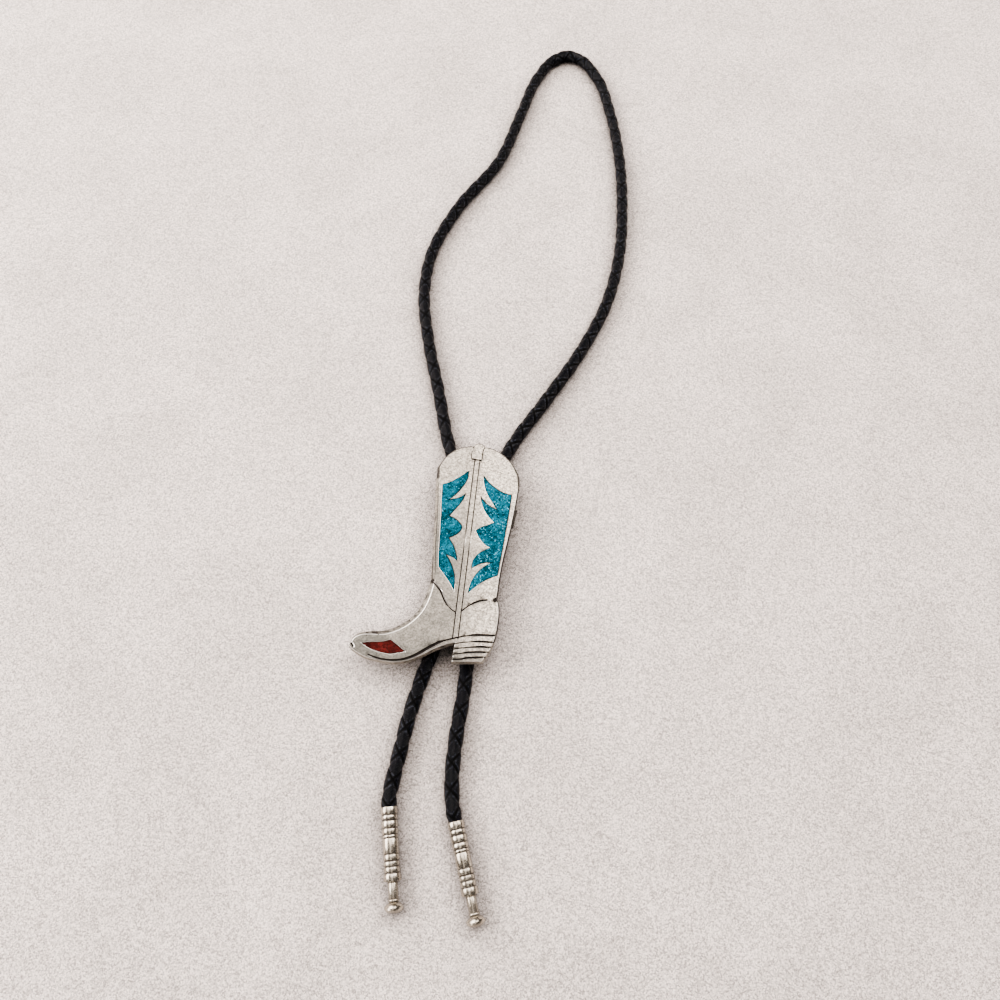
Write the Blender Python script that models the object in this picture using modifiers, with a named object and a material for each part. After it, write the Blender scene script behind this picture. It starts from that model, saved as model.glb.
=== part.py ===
"""Bolo tie: a cast western boot slide on a round leather cord, with a turned tip on each end.

Metres, +Z up. The tie lies on the plane z = 0 with its neck loop towards +Y, and the origin is
under the middle of the slide. The boot is drawn in its own frame: x runs from the toe to the
heel side, y runs up the piping on the shaft, and the sole's lowest point is at y = 0.
"""

import math

import bmesh
import bpy
import numpy as np

# Boot slide
BOOT_WIDTH = 0.0533
BOOT_HEIGHT = 0.0855
BOOT_LEAN_DEGREES = 5.7
PIPING_WIDTH = 0.0019
PLATE_THICKNESS = 0.0030
SHOULDER_DROP = 0.0017
SHOULDER_WIDTH = 0.0019
TAB_WIDTH = 0.0042
TAB_LENGTH = 0.0070
TAB_OVERHANG = 0.0006
TAB_RISE = 0.0005

# Grooves cast into the face
GROOVE_DEPTH = 0.0004
GROOVE_WIDTH = 0.0004
HEEL_LIFT_HEIGHT = 0.00188

# Stone inlays
PANEL_FOOT = 0.0267
PANEL_TOP_BORDER = 0.0110
LEFT_PANEL_BORDER = 0.0025
RIGHT_PANEL_BORDER = 0.0024
TOE_PANEL_X = 0.0046
TOE_PANEL_Y = 0.0030
TOE_PANEL_LENGTH = 0.0156
TOE_PANEL_WIDTH = 0.0050
INLAY_THICKNESS = 0.0010

# Cord
CORD_DIAMETER = 0.0048
CORD_END_DIAMETER = 0.0034
CORD_END_LENGTH = 0.0086
CORD_END_TAPER = 0.0030
CORD_POINTS = 68

# Clip behind the slide
GUIDE_SPACING = 0.0108
GUIDE_LENGTH = 0.0220
GUIDE_FOOT = 0.0369
GUIDE_WALL = 0.0009
STRAP_LENGTH = 0.0296
STRAP_WIDTH = 0.0072
STRAP_FOOT = 0.0544
STRAP_THICKNESS = 0.0010
STRAP_OFFSET = 0.0022

# Tips
TIP_LENGTH = 0.0310
TIP_DIAMETER = 0.0051
TIP_BALL_DIAMETER = 0.0054
SOCKET_DEPTH = 0.0090
SOCKET_DIAMETER = 0.0040

# Fits
CLEARANCE = 0.0003
CUT_MARGIN = 0.0010
WELD_DISTANCE = 0.000002

# Sharpest corner that an inset follows in full
MITRE_LIMIT = 0.04

# Facets
OUTLINE_STEPS = 3
GUIDE_STEPS = 24
TIP_STEPS = 20
ROUTE_STEPS = 24

# Places on the boot that its outline sets, as shares of its width and height
PIPING_SHARE = 0.687
PIPING_FOOT_SHARE = 0.1205
SHAFT_LEFT_SHARE = 0.415
SHAFT_RIGHT_SHARE = 0.997

CORNER, SMOOTH = True, False

# Boot outline from the top of the arch, clockwise: share of BOOT_WIDTH, share of BOOT_HEIGHT,
# corner or smooth, and the shoulder's width there as a share of SHOULDER_WIDTH
BOOT_OUTLINE = [
    (0.686, 1.000, SMOOTH, 0.20),
    (0.791, 0.992, SMOOTH, 0.20),
    (0.914, 0.946, SMOOTH, 0.20),
    (0.960, 0.910, SMOOTH, 0.20),
    (0.991, 0.874, SMOOTH, 0.22),
    (1.000, 0.838, SMOOTH, 0.25),
    (0.996, 0.775, SMOOTH, 0.25),
    (0.976, 0.630, SMOOTH, 0.25),
    (0.936, 0.420, SMOOTH, 0.25),
    (0.929, 0.307, CORNER, 0.25),
    (0.951, 0.262, SMOOTH, 0.25),
    (0.954, 0.210, SMOOTH, 0.25),
    (0.946, 0.150, CORNER, 0.20),
    (0.933, 0.112, SMOOTH, 0.20),
    (0.908, 0.075, SMOOTH, 0.20),
    (0.873, 0.037, CORNER, 0.20),
    (0.676, 0.024, CORNER, 0.20),
    (0.682, 0.101, CORNER, 0.20),
    (0.646, 0.094, SMOOTH, 0.20),
    (0.566, 0.071, SMOOTH, 0.20),
    (0.488, 0.040, SMOOTH, 0.20),
    (0.410, 0.014, SMOOTH, 0.20),
    (0.330, 0.001, SMOOTH, 0.20),
    (0.191, 0.004, SMOOTH, 0.20),
    (0.127, 0.011, SMOOTH, 0.20),
    (0.060, 0.028, SMOOTH, 0.20),
    (0.014, 0.046, SMOOTH, 0.20),
    (0.000, 0.057, SMOOTH, 0.20),
    (0.010, 0.072, CORNER, 0.30),
    (0.023, 0.093, SMOOTH, 0.42),
    (0.050, 0.109, SMOOTH, 0.52),
    (0.098, 0.120, SMOOTH, 0.60),
    (0.220, 0.132, SMOOTH, 0.90),
    (0.337, 0.171, SMOOTH, 1.00),
    (0.418, 0.229, SMOOTH, 1.00),
    (0.450, 0.285, SMOOTH, 1.00),
    (0.474, 0.365, CORNER, 0.80),
    (0.459, 0.480, SMOOTH, 0.55),
    (0.434, 0.680, SMOOTH, 0.55),
    (0.415, 0.795, SMOOTH, 0.52),
    (0.408, 0.879, CORNER, 0.35),
    (0.455, 0.933, SMOOTH, 0.20),
    (0.521, 0.974, SMOOTH, 0.20),
]

# Pull tab, clockwise from its top: shares of TAB_WIDTH from the piping and of TAB_LENGTH
TAB_OUTLINE = [
    (0.00, 1.00, SMOOTH),
    (0.30, 0.96, SMOOTH),
    (0.50, 0.78, CORNER),
    (0.40, 0.60, SMOOTH),
    (0.37, 0.35, SMOOTH),
    (0.38, 0.00, CORNER),
    (-0.50, 0.03, CORNER),
    (-0.52, 0.50, SMOOTH),
    (-0.42, 0.62, SMOOTH),
    (-0.48, 0.75, CORNER),
    (-0.28, 0.96, SMOOTH),
]

# Shaft inlays, from the top tip and down the outer side: shares of the panel's reach from the
# piping and of PANEL_HEIGHT
LEFT_PANEL = [
    (0.215, 1.000, CORNER),
    (0.455, 0.947, SMOOTH),
    (0.720, 0.896, SMOOTH),
    (1.000, 0.862, CORNER),
    (0.942, 0.698, SMOOTH),
    (0.892, 0.554, SMOOTH),
    (0.808, 0.274, SMOOTH),
    (0.765, 0.187, CORNER),
    (0.582, 0.134, SMOOTH),
    (0.367, 0.068, SMOOTH),
    (0.212, 0.010, CORNER),
    (0.215, 0.082, SMOOTH),
    (0.290, 0.158, SMOOTH),
    (0.417, 0.227, SMOOTH),
    (0.576, 0.286, CORNER),
    (0.410, 0.272, SMOOTH),
    (0.226, 0.241, CORNER),
    (0.283, 0.295, SMOOTH),
    (0.388, 0.358, SMOOTH),
    (0.576, 0.424, CORNER),
    (0.375, 0.453, SMOOTH),
    (0.250, 0.487, SMOOTH),
    (0.213, 0.516, SMOOTH),
    (0.297, 0.551, SMOOTH),
    (0.470, 0.585, SMOOTH),
    (0.649, 0.601, CORNER),
    (0.505, 0.657, SMOOTH),
    (0.322, 0.731, SMOOTH),
    (0.222, 0.805, CORNER),
    (0.401, 0.768, SMOOTH),
    (0.704, 0.741, CORNER),
    (0.481, 0.805, SMOOTH),
    (0.322, 0.870, SMOOTH),
    (0.226, 0.932, SMOOTH),
]
RIGHT_PANEL = [
    (0.210, 0.971, CORNER),
    (0.360, 0.915, SMOOTH),
    (0.594, 0.865, SMOOTH),
    (0.847, 0.833, SMOOTH),
    (1.002, 0.829, CORNER),
    (0.993, 0.717, SMOOTH),
    (0.960, 0.571, SMOOTH),
    (0.894, 0.296, SMOOTH),
    (0.860, 0.166, CORNER),
    (0.616, 0.127, SMOOTH),
    (0.380, 0.069, SMOOTH),
    (0.164, 0.000, CORNER),
    (0.195, 0.075, SMOOTH),
    (0.299, 0.150, SMOOTH),
    (0.481, 0.219, SMOOTH),
    (0.649, 0.254, CORNER),
    (0.418, 0.245, SMOOTH),
    (0.178, 0.194, CORNER),
    (0.185, 0.251, SMOOTH),
    (0.267, 0.302, SMOOTH),
    (0.433, 0.348, SMOOTH),
    (0.592, 0.377, CORNER),
    (0.441, 0.397, SMOOTH),
    (0.293, 0.442, SMOOTH),
    (0.177, 0.501, CORNER),
    (0.310, 0.535, SMOOTH),
    (0.461, 0.556, SMOOTH),
    (0.626, 0.582, CORNER),
    (0.465, 0.624, SMOOTH),
    (0.271, 0.712, SMOOTH),
    (0.187, 0.794, CORNER),
    (0.313, 0.748, SMOOTH),
    (0.514, 0.707, SMOOTH),
    (0.657, 0.693, CORNER),
    (0.497, 0.753, SMOOTH),
    (0.337, 0.827, SMOOTH),
    (0.243, 0.902, SMOOTH),
]

# Toe inlay from its left tip: shares of TOE_PANEL_LENGTH and TOE_PANEL_WIDTH
TOE_PANEL = [
    (0.000, 0.59, CORNER),
    (0.160, 0.71, SMOOTH),
    (0.430, 0.80, SMOOTH),
    (0.635, 1.00, CORNER),
    (1.000, 0.27, CORNER),
    (0.830, 0.12, SMOOTH),
    (0.650, 0.00, CORNER),
    (0.350, 0.12, SMOOTH),
    (0.140, 0.34, SMOOTH),
]

# Face grooves: shares of BOOT_WIDTH and BOOT_HEIGHT, and the width there as a share of GROOVE_WIDTH
WELT_GROOVE = [
    (0.145, 0.024, 0.4),
    (0.194, 0.015, 0.8),
    (0.284, 0.010, 1.0),
    (0.359, 0.016, 1.3),
    (0.418, 0.030, 1.6),
    (0.482, 0.055, 2.0),
    (0.546, 0.084, 1.9),
    (0.611, 0.108, 1.6),
    (0.672, 0.121, 1.2),
    (0.767, 0.139, 1.1),
    (0.850, 0.146, 1.0),
    (0.960, 0.151, 0.9),
]
VAMP_GROOVE = [
    (0.460, 0.366, 1.1),
    (0.482, 0.354, 1.1),
    (0.518, 0.334, 1.1),
    (0.550, 0.316, 1.0),
    (0.575, 0.287, 0.8),
    (0.617, 0.250, 0.8),
    (0.669, 0.228, 0.8),
]
COUNTER_GROOVE = [
    (0.704, 0.236, 1.0),
    (0.757, 0.266, 1.0),
    (0.811, 0.285, 0.9),
    (0.865, 0.294, 0.5),
]
COUNTER_NICK = [
    (0.912, 0.304, 1.4),
    (0.945, 0.306, 2.4),
]
TOE_NOTCH = [
    (0.024, 0.066, 1.0),
    (0.040, 0.052, 0.8),
]
# Heel lifts: front, middle and back of the top groove, which the others repeat further down
HEEL_LIFT_GROOVE = [
    (0.690, 0.100, 0.8),
    (0.785, 0.115, 0.9),
    (0.950, 0.123, 0.9),
]
HEEL_LIFT_GROOVES = 4
HEEL_FRONT_OVERHANG = 0.0006

# How a lift's back end moves for each length that the lift lies below the top one
HEEL_BACK_TAPER = 0.5
HEEL_LIFT_DROOP = 0.05
PIPING_GROOVE_SHARE = 0.8

# Tip bands from the rim: shares of TIP_LENGTH where each starts and ends, share of TIP_DIAMETER
TIP_BANDS = [
    (0.000, 0.072, 1.00),
    (0.080, 0.122, 0.98),
    (0.135, 0.200, 0.98),
    (0.208, 0.264, 0.98),
    (0.271, 0.296, 0.94),
    (0.302, 0.446, 0.92),
    (0.453, 0.508, 0.94),
    (0.515, 0.564, 0.92),
    (0.572, 0.622, 0.93),
    (0.633, 0.702, 1.00),
    (0.714, 0.864, 0.57),
    (0.868, 0.886, 0.64),
]
TIP_GROOVE_SHARE = 0.88
TIP_STEP_SHARE = 0.94
TIP_EDGE_SHARE = 0.004
TIP_NECK_SHARE = 0.46
TIP_BALL_START = 0.900
TIP_BALL_DEGREES = (55, 25, -5, -35, -65)

# Route of the cord from the left tip round the neck to the right tip, in millimetres
CORD_ROUTE = [
    (-12.7, -95.1, 2.70),
    (-13.6, -87.1, 2.70),
    (-13.7, -84.0, 2.62),
    (-12.6, -77.5, 2.45),
    (-11.1, -70.5, 2.45),
    (-8.6, -59.0, 2.45),
    (-5.0, -46.7, 2.45),
    (-1.2, -35.5, 2.50),
    (2.0, -23.5, 2.95),
    (3.9, -11.5, 3.55),
    (5.4, 4.4, 3.60),
    (7.0, 20.0, 3.55),
    (6.6, 28.5, 3.10),
    (4.6, 37.5, 2.60),
    (1.8, 48.0, 2.45),
    (-2.4, 70.0, 2.45),
    (-7.3, 94.0, 2.45),
    (-10.1, 119.0, 2.45),
    (-8.1, 138.7, 2.45),
    (3.2, 166.3, 2.45),
    (22.2, 195.6, 2.45),
    (32.9, 226.9, 2.45),
    (41.6, 251.8, 2.45),
    (50.0, 264.0, 2.45),
    (56.3, 267.0, 2.45),
    (62.5, 264.3, 2.45),
    (70.2, 252.0, 2.45),
    (75.8, 226.9, 2.45),
    (78.5, 195.6, 2.45),
    (77.9, 166.3, 2.45),
    (74.8, 138.7, 2.45),
    (67.7, 112.9, 2.45),
    (55.6, 88.5, 2.45),
    (40.8, 65.5, 2.45),
    (26.6, 44.0, 2.55),
    (21.4, 33.0, 2.90),
    (18.3, 22.0, 3.45),
    (16.1, 3.3, 3.60),
    (14.6, -12.5, 3.55),
    (12.9, -24.5, 3.00),
    (11.2, -38.5, 2.50),
    (9.9, -50.8, 2.45),
    (7.5, -66.7, 2.45),
    (6.6, -80.5, 2.50),
    (7.3, -88.3, 2.68),
    (8.1, -91.5, 2.70),
    (10.0, -99.3, 2.70),
]

MILLIMETRE = 0.001

# Sizes that follow from the others
PIPING_X = PIPING_SHARE * BOOT_WIDTH
TAB_FOOT = BOOT_HEIGHT + TAB_OVERHANG - TAB_LENGTH
PANEL_HEIGHT = BOOT_HEIGHT - PANEL_TOP_BORDER - PANEL_FOOT
LEFT_PANEL_REACH = PIPING_X - SHAFT_LEFT_SHARE * BOOT_WIDTH - LEFT_PANEL_BORDER
RIGHT_PANEL_REACH = SHAFT_RIGHT_SHARE * BOOT_WIDTH - PIPING_X - RIGHT_PANEL_BORDER

# Heights above the table
GUIDE_Z = GUIDE_WALL + CLEARANCE + CORD_DIAMETER / 2
CLIP_TOP = GUIDE_Z + CORD_DIAMETER / 2 + CLEARANCE + GUIDE_WALL
PLATE_BACK = CLIP_TOP + CLEARANCE
FACE_Z = PLATE_BACK + PLATE_THICKNESS
CELL_FLOOR = FACE_Z - INLAY_THICKNESS - CLEARANCE


def clear_scene():
    for obj in list(bpy.data.objects):
        bpy.data.objects.remove(obj)


def new_collection(name):
    collection = bpy.data.collections.new(name)
    bpy.context.scene.collection.children.link(collection)
    return collection


def new_material(name, colour, metallic, roughness):
    material = bpy.data.materials.new(name)
    material.use_nodes = True
    shader = material.node_tree.nodes["Principled BSDF"]
    shader.inputs["Base Color"].default_value = (*colour, 1.0)
    shader.inputs["Metallic"].default_value = metallic
    shader.inputs["Roughness"].default_value = roughness
    material.diffuse_color = (*colour, 1.0)
    return material


def smooth_run(rows, steps, axes):
    """Points along a smooth open curve through the rows, steps to each span between two rows."""
    rows = np.array(rows, float)
    spans = np.diff(rows, axis=0)
    lengths = np.linalg.norm(spans[:, :axes], axis=1)[:, None]
    slopes = spans / lengths
    tangents = np.vstack([slopes[:1], slopes])
    if len(rows) > 2:
        before, after = lengths[:-1], lengths[1:]
        middle = (slopes[:-1] * after + slopes[1:] * before) / (before + after)
        first = (3 * slopes[:1] - middle[:1]) / 2
        last = (3 * slopes[-1:] - middle[-1:]) / 2
        tangents = np.vstack([first, middle, last])
    points = []
    for i, length in enumerate(lengths[:, 0]):
        for t in np.arange(steps) / steps:
            points.append(
                (2 * t**3 - 3 * t**2 + 1) * rows[i]
                + (t**3 - 2 * t**2 + t) * length * tangents[i]
                + (3 * t**2 - 2 * t**3) * rows[i + 1]
                + (t**3 - t**2) * length * tangents[i + 1]
            )
    points.append(rows[-1])
    return np.array(points)


def smooth_outline(rows, corners):
    """A closed outline through the rows, smooth except where a row is a corner."""
    start = corners.index(True)
    order = list(range(start, len(rows))) + list(range(start + 1))
    points = []
    run = [rows[order[0]]]
    for i in order[1:]:
        run.append(rows[i])
        if corners[i]:
            points.extend(smooth_run(run, OUTLINE_STEPS, 2)[:-1])
            run = [rows[i]]
    return np.array(points)


def inset(rows, distances):
    """The closed outline with each of its rows moved inwards by its own distance."""
    rows = np.array(rows, float)
    flat = rows[:, :2]
    ahead = np.roll(flat, -1, axis=0) - flat
    ahead /= np.linalg.norm(ahead, axis=1)[:, None]
    turn = np.roll(flat, -1, axis=0)
    clockwise = np.sum(flat[:, 0] * turn[:, 1] - flat[:, 1] * turn[:, 0]) < 0
    side = 1.0 if clockwise else -1.0
    normals = side * np.column_stack([ahead[:, 1], -ahead[:, 0]])
    behind = np.roll(normals, 1, axis=0)
    share = 1 + np.sum(normals * behind, axis=1)
    flat = flat + (normals + behind) / np.maximum(share, MITRE_LIMIT)[:, None] * distances[:, None]
    return np.column_stack([flat, rows[:, 2:]])


def boot_rows():
    return np.array(
        [(x * BOOT_WIDTH, y * BOOT_HEIGHT, s * SHOULDER_WIDTH) for x, y, _, s in BOOT_OUTLINE]
    )


def boot_outline():
    return smooth_outline(boot_rows(), [row[2] for row in BOOT_OUTLINE])


def tab_outline():
    rows = [(PIPING_X + x * TAB_WIDTH, TAB_FOOT + y * TAB_LENGTH) for x, y, _ in TAB_OUTLINE]
    return smooth_outline(rows, [row[2] for row in TAB_OUTLINE])


def panel_outline(table, left, foot, width, height, gap):
    """An inlay's outline, moved inwards by gap. A width below zero draws it to the left."""
    rows = np.array([(left + x * width, foot + y * height) for x, y, _ in table])
    rows = inset(rows, np.full(len(rows), gap))
    return smooth_outline(rows, [row[2] for row in table])


def inlay_outlines(gap):
    return {
        "turquoise_inlay_left": panel_outline(
            LEFT_PANEL, PIPING_X, PANEL_FOOT, -LEFT_PANEL_REACH, PANEL_HEIGHT, gap
        ),
        "turquoise_inlay_right": panel_outline(
            RIGHT_PANEL, PIPING_X, PANEL_FOOT, RIGHT_PANEL_REACH, PANEL_HEIGHT, gap
        ),
        "coral_inlay": panel_outline(
            TOE_PANEL, TOE_PANEL_X, TOE_PANEL_Y, TOE_PANEL_LENGTH, TOE_PANEL_WIDTH, gap
        ),
    }


def slide_seat(collection):
    """The boot's frame: turned by its lean, with the slide's middle over the world's origin."""
    lean = math.radians(BOOT_LEAN_DEGREES)
    cos, sin = math.cos(lean), math.sin(lean)
    flat = np.vstack([boot_outline()[:, :2], tab_outline()])
    turned = np.column_stack([flat @ (cos, sin), flat @ (-sin, cos)])
    middle = (turned.min(axis=0) + turned.max(axis=0)) / 2
    seat = bpy.data.objects.new("slide_seat", None)
    seat.location = (-middle[0], -middle[1], 0.0)
    seat.rotation_euler = (0.0, 0.0, -lean)
    collection.objects.link(seat)
    return seat


def mesh_object(name, bm, collection, parent):
    bmesh.ops.remove_doubles(bm, verts=bm.verts, dist=WELD_DISTANCE)
    bmesh.ops.recalc_face_normals(bm, faces=bm.faces)
    mesh = bpy.data.meshes.new(name)
    bm.to_mesh(mesh)
    bm.free()
    obj = bpy.data.objects.new(name, mesh)
    obj.parent = parent
    collection.objects.link(obj)
    return obj


def flat_solid(name, outlines, low, high, collection, parent):
    """A flat outline, with any holes, between two heights, as a mesh."""
    curve = bpy.data.curves.new(name, "CURVE")
    curve.dimensions = "2D"
    curve.fill_mode = "BOTH"
    curve.extrude = (high - low) / 2
    for outline in outlines:
        spline = curve.splines.new("POLY")
        spline.points.add(len(outline) - 1)
        for point, place in zip(spline.points, outline):
            point.co = (place[0], place[1], 0.0, 1.0)
        spline.use_cyclic_u = True
    drawn = bpy.data.objects.new(name, curve)
    collection.objects.link(drawn)
    graph = bpy.context.evaluated_depsgraph_get()
    mesh = bpy.data.meshes.new_from_object(drawn.evaluated_get(graph))
    bm = bmesh.new()
    bm.from_mesh(mesh)
    bpy.data.objects.remove(drawn)
    bpy.data.curves.remove(curve)
    bpy.data.meshes.remove(mesh)
    bmesh.ops.translate(bm, verts=bm.verts, vec=(0.0, 0.0, (low + high) / 2))
    return mesh_object(name, bm, collection, parent)


def combine(obj, operation, collection):
    """Cuts the collection's solids from obj, or joins them to it."""
    modifier = obj.modifiers.new(operation.title(), "BOOLEAN")
    modifier.operation = operation
    modifier.operand_type = "COLLECTION"
    modifier.collection = collection
    modifier.solver = "EXACT"


def hide_helpers(collection):
    for obj in collection.objects:
        obj.hide_render = True
        obj.display_type = "WIRE"


def groove_cutter(name, rows, collection, parent):
    """A blade that cuts a groove along the rows of places and widths."""
    rows = smooth_run(rows, OUTLINE_STEPS, 2)
    ahead = np.gradient(rows[:, :2], axis=0)
    ahead /= np.linalg.norm(ahead, axis=1)[:, None]
    across = np.column_stack([-ahead[:, 1], ahead[:, 0]]) * rows[:, 2:] / 2
    outline = np.vstack([rows[:, :2] + across, (rows[:, :2] - across)[::-1]])
    flat_solid(name, [outline], FACE_Z - GROOVE_DEPTH, FACE_Z + CUT_MARGIN, collection, parent)


def face_rows(table, x_shift=0.0, y_shift=0.0):
    return [
        (x * BOOT_WIDTH + x_shift, y * BOOT_HEIGHT + y_shift, w * GROOVE_WIDTH)
        for x, y, w in table
    ]


def heel_lift_rows(index):
    """One groove between two heel lifts. The heel tapers, so a lower one is set further in."""
    drop = index * HEEL_LIFT_HEIGHT
    rows = face_rows(HEEL_LIFT_GROOVE, y_shift=-drop)
    back = rows[2][0] - HEEL_BACK_TAPER * drop
    rows[2] = (back, rows[2][1] + HEEL_LIFT_DROOP * drop, rows[2][2])
    front = rows[0][0] - HEEL_FRONT_OVERHANG
    return [(front, rows[0][1], rows[0][2]), *rows[1:]]


def groove_tables():
    piping_width = GROOVE_WIDTH * PIPING_GROOVE_SHARE
    grooves = {
        "welt_groove": face_rows(WELT_GROOVE),
        "vamp_groove": face_rows(VAMP_GROOVE),
        "counter_groove": face_rows(COUNTER_GROOVE),
        "counter_nick": face_rows(COUNTER_NICK),
        "toe_notch": face_rows(TOE_NOTCH),
    }
    for side, name in ((-0.5, "piping_left"), (0.5, "piping_right")):
        x = PIPING_X + side * PIPING_WIDTH
        foot = PIPING_FOOT_SHARE * BOOT_HEIGHT
        grooves[name] = [(x, foot, piping_width), (x, TAB_FOOT, piping_width)]
    for index in range(HEEL_LIFT_GROOVES):
        grooves[f"heel_lift_{index + 1}"] = heel_lift_rows(index)
    return grooves


def cast_plate(collection, seat):
    """The boot's body: upright walls to the rim, then a shoulder that slopes in to the face."""
    rim = boot_outline()
    face = inset(rim, rim[:, 2])
    sections = (
        (rim, PLATE_BACK),
        (rim, FACE_Z - SHOULDER_DROP),
        (face, FACE_Z),
    )
    bm = bmesh.new()
    loops = [[bm.verts.new((p[0], p[1], z)) for p in outline] for outline, z in sections]
    count = len(rim)
    for below, above in zip(loops, loops[1:]):
        for i in range(count):
            j = (i + 1) % count
            bm.faces.new((below[i], below[j], above[j], above[i]))
    bm.faces.new(loops[0])
    bm.faces.new(loops[-1])
    return mesh_object("boot_slide", bm, collection, seat)


def build_slide(bolo, cutters, joined, seat, pewter):
    boot = cast_plate(bolo, seat)
    flat_solid("pull_tab", [tab_outline()], PLATE_BACK, FACE_Z + TAB_RISE, joined, seat)
    for name, outline in inlay_outlines(0.0).items():
        flat_solid(f"{name}_cell", [outline], CELL_FLOOR, FACE_Z + CUT_MARGIN, cutters, seat)
    for name, rows in groove_tables().items():
        groove_cutter(name, rows, cutters, seat)
    combine(boot, "DIFFERENCE", cutters)
    combine(boot, "UNION", joined)
    boot.data.materials.append(pewter)


def build_inlays(bolo, seat, turquoise, coral):
    for name, outline in inlay_outlines(CLEARANCE).items():
        inlay = flat_solid(name, [outline], FACE_Z - INLAY_THICKNESS, FACE_Z, bolo, seat)
        inlay.data.materials.append(coral if name.startswith("coral") else turquoise)


def circle(x, y, radius, count):
    angles = [2 * math.pi * i / count for i in range(count)]
    return [(x + radius * math.cos(a), y + radius * math.sin(a)) for a in angles]


def rectangle(left, right, low, high):
    return [(left, low), (right, low), (right, high), (left, high)]


def build_clip(bolo, joined, seat, steel):
    """The plain back: two guides round the cord, and a strap across the back of the boot."""
    bore = CORD_DIAMETER / 2 + CLEARANCE
    half_width = GUIDE_SPACING / 2 + bore + GUIDE_WALL
    section = rectangle(-half_width, half_width, 0.0, CLIP_TOP)
    bores = [circle(x, GUIDE_Z, bore, GUIDE_STEPS) for x in (-GUIDE_SPACING / 2, GUIDE_SPACING / 2)]
    clip = flat_solid("cord_clip", [section, *bores], 0.0, GUIDE_LENGTH, bolo, seat)
    clip.rotation_euler = (math.radians(90), 0.0, 0.0)
    clip.location = (PIPING_X, GUIDE_FOOT + GUIDE_LENGTH, 0.0)
    middle = PIPING_X + STRAP_OFFSET
    strap = rectangle(
        middle - STRAP_LENGTH / 2,
        middle + STRAP_LENGTH / 2,
        STRAP_FOOT,
        STRAP_FOOT + STRAP_WIDTH,
    )
    flat_solid("clip_strap", [strap], CLIP_TOP - STRAP_THICKNESS, CLIP_TOP, joined, seat)
    combine(clip, "UNION", joined)
    clip.data.materials.append(steel)


def cord_points():
    """Points along the smooth route: two in each squeezed end, and evenly spaced ones between."""
    route = np.array(CORD_ROUTE) * MILLIMETRE
    fine = smooth_run(route, ROUTE_STEPS, 3)
    along = np.concatenate([[0.0], np.cumsum(np.linalg.norm(np.diff(fine, axis=0), axis=1))])
    length = along[-1]
    round_from = CORD_END_LENGTH + CORD_END_TAPER
    wanted = np.concatenate([
        [0.0, CORD_END_LENGTH],
        np.linspace(round_from, length - round_from, CORD_POINTS),
        [length - CORD_END_LENGTH, length],
    ])
    return np.column_stack([np.interp(wanted, along, fine[:, axis]) for axis in range(3)])


def build_cord(bolo, leather):
    points = cord_points()
    curve = bpy.data.curves.new("cord", "CURVE")
    curve.dimensions = "3D"
    curve.bevel_depth = CORD_DIAMETER / 2
    curve.bevel_resolution = 2
    curve.use_fill_caps = True
    spline = curve.splines.new("POLY")
    spline.points.add(len(points) - 1)
    for point, place in zip(spline.points, points):
        point.co = (*place, 1.0)
    for end in (0, 1, -2, -1):
        spline.points[end].radius = CORD_END_DIAMETER / CORD_DIAMETER
    cord = bpy.data.objects.new("cord", curve)
    curve.materials.append(leather)
    bolo.objects.link(cord)


def tip_profile():
    """Radius and height of a tip, from its socket's floor over the rim and down to the ball."""
    full = TIP_DIAMETER / 2
    groove = full * TIP_GROOVE_SHARE
    socket = SOCKET_DIAMETER / 2
    edge = TIP_EDGE_SHARE * TIP_LENGTH
    profile = [(0.0, -SOCKET_DEPTH), (socket, -SOCKET_DEPTH), (socket, 0.0)]
    for start, end, share in TIP_BANDS:
        top, foot = -start * TIP_LENGTH, -end * TIP_LENGTH
        radius = full * share
        low = min(groove, radius * TIP_STEP_SHARE)
        profile += [(low, top), (radius, top - edge), (radius, foot + edge), (low, foot)]
    ball = TIP_BALL_DIAMETER / 2
    ball_height = (1 - TIP_BALL_START) * TIP_LENGTH / 2
    centre = -TIP_LENGTH + ball_height
    neck = full * TIP_NECK_SHARE
    profile += [(neck, -TIP_BANDS[-1][1] * TIP_LENGTH - edge), (neck, centre + ball_height)]
    for angle in TIP_BALL_DEGREES:
        turn = math.radians(angle)
        profile.append((ball * math.cos(turn), centre + ball_height * math.sin(turn)))
    profile.append((0.0, -TIP_LENGTH))
    return profile


def build_tip(name, rim, inner, bolo, nickel):
    """A turned tip lying on its ball end: its rim and its axis follow two points of the route."""
    profile = tip_profile()
    bm = bmesh.new()
    verts = [bm.verts.new((radius, 0.0, height)) for radius, height in profile]
    for pair in zip(verts, verts[1:]):
        bm.edges.new(pair)
    mesh = bpy.data.meshes.new(name)
    bm.to_mesh(mesh)
    bm.free()
    tip = bpy.data.objects.new(name, mesh)
    screw = tip.modifiers.new("Turned", "SCREW")
    screw.steps = TIP_STEPS
    screw.render_steps = TIP_STEPS
    screw.use_merge_vertices = True
    screw.merge_threshold = WELD_DISTANCE
    tip.location = (rim[0] * MILLIMETRE, rim[1] * MILLIMETRE, TIP_BALL_DIAMETER / 2)
    turn = math.atan2(inner[0] - rim[0], rim[1] - inner[1])
    tip.rotation_euler = (math.radians(-90), 0.0, turn)
    tip.data.materials.append(nickel)
    bolo.objects.link(tip)


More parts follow.
